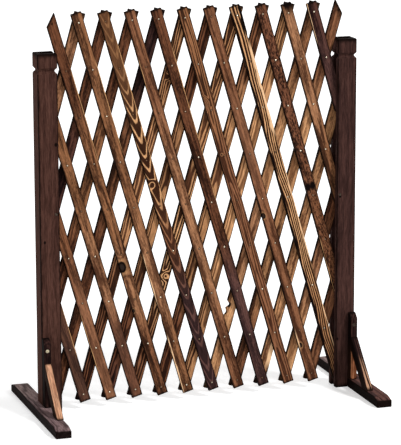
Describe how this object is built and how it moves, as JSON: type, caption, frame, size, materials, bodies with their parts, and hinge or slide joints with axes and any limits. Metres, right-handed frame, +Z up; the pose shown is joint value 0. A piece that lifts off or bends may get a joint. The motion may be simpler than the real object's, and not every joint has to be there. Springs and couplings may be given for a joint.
{
  "type": "expandable trellis",
  "caption": "Free-standing wooden lattice of crossed slats that folds and opens like scissors between two slotted posts, each on a long foot with a slanting brace.",
  "frame": {"origin": "on the floor midway between the posts, under the middle of the feet", "axes": "+X to the right along the lattice, +Y from the front to the back, +Z up"},
  "size_m": [0.7806, 0.4, 0.8983],
  "materials": {
    "post_wood": "dark brown stain, worn and streaky",
    "foot_wood": "dark greyish brown stain",
    "brace_wood": "thin orange-brown stain",
    "slat_dark": "dark stain",
    "slat_brown": "mid brown stain",
    "slat_red": "reddish brown stain",
    "slat_tan": "thin tan stain with the grain showing",
    "steel": "zinc plated"
  },
  "bodies": {
    "left_stand": {"post_left": "post_wood", "foot_left": "foot_wood", "brace_leg_left": "brace_wood", "brace_strut_left": "brace_wood", "pivot_pin_left": "steel", "brace_bolt_left": "steel", "foot_screw_left_front": "steel", "foot_screw_left_back": "steel", "strut_screw_left": "steel"},
    "right_stand": {"post_right": "post_wood", "foot_right": "foot_wood", "brace_leg_right": "brace_wood", "brace_strut_right": "brace_wood", "pivot_pin_right": "steel", "brace_bolt_right": "steel", "foot_screw_right_front": "steel", "foot_screw_right_back": "steel", "strut_screw_right": "steel"},
    "front_slat_01": {"front_slat_01": "slat_dark"},
    "front_slat_02": {"front_slat_02": "slat_brown"},
    "front_slat_03": {"front_slat_03": "slat_dark"},
    "front_slat_04": {"front_slat_04": "slat_dark"},
    "front_slat_05": {"front_slat_05": "slat_brown"},
    "front_slat_06": {"front_slat_06": "slat_tan"},
    "front_slat_07": {"front_slat_07": "slat_red"},
    "front_slat_08": {"front_slat_08": "slat_dark"},
    "front_slat_09": {"front_slat_09": "slat_tan"},
    "front_slat_10": {"front_slat_10": "slat_red"},
    "front_slat_11": {"front_slat_11": "slat_tan"},
    "front_slat_12": {"front_slat_12": "slat_dark"},
    "front_slat_13": {"front_slat_13": "slat_brown"},
    "front_slat_14": {"front_slat_14": "slat_dark"},
    "back_slat_01": {"back_slat_01": "slat_tan"},
    "back_slat_02": {"back_slat_02": "slat_brown"},
    "back_slat_03": {"back_slat_03": "slat_brown"},
    "back_slat_04": {"back_slat_04": "slat_dark"},
    "back_slat_05": {"back_slat_05": "slat_brown"},
    "back_slat_06": {"back_slat_06": "slat_brown"},
    "back_slat_07": {"back_slat_07": "slat_tan"},
    "back_slat_08": {"back_slat_08": "slat_brown"},
    "back_slat_09": {"back_slat_09": "slat_brown"},
    "back_slat_10": {"back_slat_10": "slat_dark"},
    "back_slat_11": {"back_slat_11": "slat_brown"},
    "back_slat_12": {"back_slat_12": "slat_tan"},
    "back_slat_13": {"back_slat_13": "slat_dark"},
    "back_slat_14": {"back_slat_14": "slat_brown"}
  },
  "joints": [
    {"name": "turn_back_slat_02", "type": "hinge", "parent": "left_stand", "child": "back_slat_02", "pos_m": [-0.3331, 0.008, 0.45502], "axis": [0, 1, 0], "range_deg": [-9, 38.8]},
    {"name": "turn_front_slat_06", "type": "hinge", "parent": "back_slat_02", "child": "front_slat_06", "pos_m": [-0.21197, 0.008, 0.87386], "axis": [0, 1, 0], "range_deg": [-77.6, 18]},
    {"name": "turn_front_slat_05", "type": "hinge", "parent": "back_slat_02", "child": "front_slat_05", "pos_m": [-0.24226, 0.008, 0.76915], "axis": [0, 1, 0], "range_deg": [-77.6, 18]},
    {"name": "turn_front_slat_04", "type": "hinge", "parent": "back_slat_02", "child": "front_slat_04", "pos_m": [-0.27254, 0.008, 0.66444], "axis": [0, 1, 0], "range_deg": [-77.6, 18]},
    {"name": "turn_front_slat_03", "type": "hinge", "parent": "back_slat_02", "child": "front_slat_03", "pos_m": [-0.30282, 0.008, 0.55973], "axis": [0, 1, 0], "range_deg": [-77.6, 18]},
    {"name": "turn_front_slat_02", "type": "hinge", "parent": "back_slat_02", "child": "front_slat_02", "pos_m": [-0.3331, 0.008, 0.45502], "axis": [0, 1, 0], "range_deg": [-77.6, 18]},
    {"name": "turn_back_slat_03", "type": "hinge", "parent": "front_slat_06", "child": "back_slat_03", "pos_m": [-0.18169, 0.008, 0.76915], "axis": [0, 1, 0], "range_deg": [-18, 77.6]},
    {"name": "turn_back_slat_04", "type": "hinge", "parent": "front_slat_06", "child": "back_slat_04", "pos_m": [-0.15141, 0.008, 0.66444], "axis": [0, 1, 0], "range_deg": [-18, 77.6]},
    {"name": "turn_back_slat_05", "type": "hinge", "parent": "front_slat_06", "child": "back_slat_05", "pos_m": [-0.12113, 0.008, 0.55973], "axis": [0, 1, 0], "range_deg": [-18, 77.6]},
    {"name": "turn_back_slat_06", "type": "hinge", "parent": "front_slat_06", "child": "back_slat_06", "pos_m": [-0.09085, 0.008, 0.45502], "axis": [0, 1, 0], "range_deg": [-18, 77.6]},
    {"name": "turn_back_slat_07", "type": "hinge", "parent": "front_slat_06", "child": "back_slat_07", "pos_m": [-0.06056, 0.008, 0.35031], "axis": [0, 1, 0], "range_deg": [-18, 77.6]},
    {"name": "turn_back_slat_08", "type": "hinge", "parent": "front_slat_06", "child": "back_slat_08", "pos_m": [-0.03028, 0.008, 0.2456], "axis": [0, 1, 0], "range_deg": [-18, 77.6]},
    {"name": "turn_back_slat_09", "type": "hinge", "parent": "front_slat_06", "child": "back_slat_09", "pos_m": [0, 0.008, 0.14089], "axis": [0, 1, 0], "range_deg": [-18, 77.6]},
    {"name": "turn_back_slat_10", "type": "hinge", "parent": "front_slat_06", "child": "back_slat_10", "pos_m": [0.03028, 0.008, 0.03618], "axis": [0, 1, 0], "range_deg": [-18, 77.6]},
    {"name": "turn_back_slat_01", "type": "hinge", "parent": "front_slat_05", "child": "back_slat_01", "pos_m": [-0.27254, 0.008, 0.87386], "axis": [0, 1, 0], "range_deg": [-18, 77.6]},
    {"name": "turn_front_slat_07", "type": "hinge", "parent": "back_slat_03", "child": "front_slat_07", "pos_m": [-0.15141, 0.008, 0.87386], "axis": [0, 1, 0], "range_deg": [-77.6, 18]},
    {"name": "turn_front_slat_01", "type": "hinge", "parent": "back_slat_03", "child": "front_slat_01", "pos_m": [-0.3331, 0.008, 0.2456], "axis": [0, 1, 0], "range_deg": [-77.6, 18]},
    {"name": "turn_front_slat_08", "type": "hinge", "parent": "back_slat_04", "child": "front_slat_08", "pos_m": [-0.09085, 0.008, 0.87386], "axis": [0, 1, 0], "range_deg": [-77.6, 18]},
    {"name": "turn_front_slat_09", "type": "hinge", "parent": "back_slat_05", "child": "front_slat_09", "pos_m": [-0.03028, 0.008, 0.87386], "axis": [0, 1, 0], "range_deg": [-77.6, 18]},
    {"name": "turn_front_slat_10", "type": "hinge", "parent": "back_slat_06", "child": "front_slat_10", "pos_m": [0.03028, 0.008, 0.87386], "axis": [0, 1, 0], "range_deg": [-77.6, 18]},
    {"name": "turn_front_slat_11", "type": "hinge", "parent": "back_slat_07", "child": "front_slat_11", "pos_m": [0.09085, 0.008, 0.87386], "axis": [0, 1, 0], "range_deg": [-77.6, 18]},
    {"name": "turn_front_slat_12", "type": "hinge", "parent": "back_slat_08", "child": "front_slat_12", "pos_m": [0.15141, 0.008, 0.87386], "axis": [0, 1, 0], "range_deg": [-77.6, 18]},
    {"name": "turn_front_slat_13", "type": "hinge", "parent": "back_slat_09", "child": "front_slat_13", "pos_m": [0.21197, 0.008, 0.87386], "axis": [0, 1, 0], "range_deg": [-77.6, 18]},
    {"name": "turn_front_slat_14", "type": "hinge", "parent": "back_slat_10", "child": "front_slat_14", "pos_m": [0.27254, 0.008, 0.87386], "axis": [0, 1, 0], "range_deg": [-77.6, 18]},
    {"name": "turn_back_slat_11", "type": "hinge", "parent": "front_slat_07", "child": "back_slat_11", "pos_m": [0.09085, 0.008, 0.03618], "axis": [0, 1, 0], "range_deg": [-18, 77.6]},
    {"name": "turn_back_slat_12", "type": "hinge", "parent": "front_slat_08", "child": "back_slat_12", "pos_m": [0.15141, 0.008, 0.03618], "axis": [0, 1, 0], "range_deg": [-18, 77.6]},
    {"name": "turn_back_slat_13", "type": "hinge", "parent": "front_slat_09", "child": "back_slat_13", "pos_m": [0.21197, 0.008, 0.03618], "axis": [0, 1, 0], "range_deg": [-18, 77.6]},
    {"name": "turn_back_slat_14", "type": "hinge", "parent": "front_slat_10", "child": "back_slat_14", "pos_m": [0.27254, 0.008, 0.03618], "axis": [0, 1, 0], "range_deg": [-18, 77.6]},
    {"name": "turn_right_stand", "type": "hinge", "parent": "front_slat_13", "child": "right_stand", "pos_m": [0.3331, 0.008, 0.45502], "axis": [0, 1, 0], "range_deg": [-9, 38.8]}
  ],
  "couplings": [
    {"joint": "turn_front_slat_01", "follows": "turn_back_slat_02", "ratio": -2},
    {"joint": "turn_front_slat_02", "follows": "turn_back_slat_02", "ratio": -2},
    {"joint": "turn_front_slat_03", "follows": "turn_back_slat_02", "ratio": -2},
    {"joint": "turn_front_slat_04", "follows": "turn_back_slat_02", "ratio": -2},
    {"joint": "turn_front_slat_05", "follows": "turn_back_slat_02", "ratio": -2},
    {"joint": "turn_front_slat_06", "follows": "turn_back_slat_02", "ratio": -2},
    {"joint": "turn_front_slat_07", "follows": "turn_back_slat_02", "ratio": -2},
    {"joint": "turn_front_slat_08", "follows": "turn_back_slat_02", "ratio": -2},
    {"joint": "turn_front_slat_09", "follows": "turn_back_slat_02", "ratio": -2},
    {"joint": "turn_front_slat_10", "follows": "turn_back_slat_02", "ratio": -2},
    {"joint": "turn_front_slat_11", "follows": "turn_back_slat_02", "ratio": -2},
    {"joint": "turn_front_slat_12", "follows": "turn_back_slat_02", "ratio": -2},
    {"joint": "turn_front_slat_13", "follows": "turn_back_slat_02", "ratio": -2},
    {"joint": "turn_front_slat_14", "follows": "turn_back_slat_02", "ratio": -2},
    {"joint": "turn_back_slat_01", "follows": "turn_back_slat_02", "ratio": 2},
    {"joint": "turn_back_slat_03", "follows": "turn_back_slat_02", "ratio": 2},
    {"joint": "turn_back_slat_04", "follows": "turn_back_slat_02", "ratio": 2},
    {"joint": "turn_back_slat_05", "follows": "turn_back_slat_02", "ratio": 2},
    {"joint": "turn_back_slat_06", "follows": "turn_back_slat_02", "ratio": 2},
    {"joint": "turn_back_slat_07", "follows": "turn_back_slat_02", "ratio": 2},
    {"joint": "turn_back_slat_08", "follows": "turn_back_slat_02", "ratio": 2},
    {"joint": "turn_back_slat_09", "follows": "turn_back_slat_02", "ratio": 2},
    {"joint": "turn_back_slat_10", "follows": "turn_back_slat_02", "ratio": 2},
    {"joint": "turn_back_slat_11", "follows": "turn_back_slat_02", "ratio": 2},
    {"joint": "turn_back_slat_12", "follows": "turn_back_slat_02", "ratio": 2},
    {"joint": "turn_back_slat_13", "follows": "turn_back_slat_02", "ratio": 2},
    {"joint": "turn_back_slat_14", "follows": "turn_back_slat_02", "ratio": 2},
    {"joint": "turn_right_stand", "follows": "turn_back_slat_02", "ratio": 1}
  ]
}
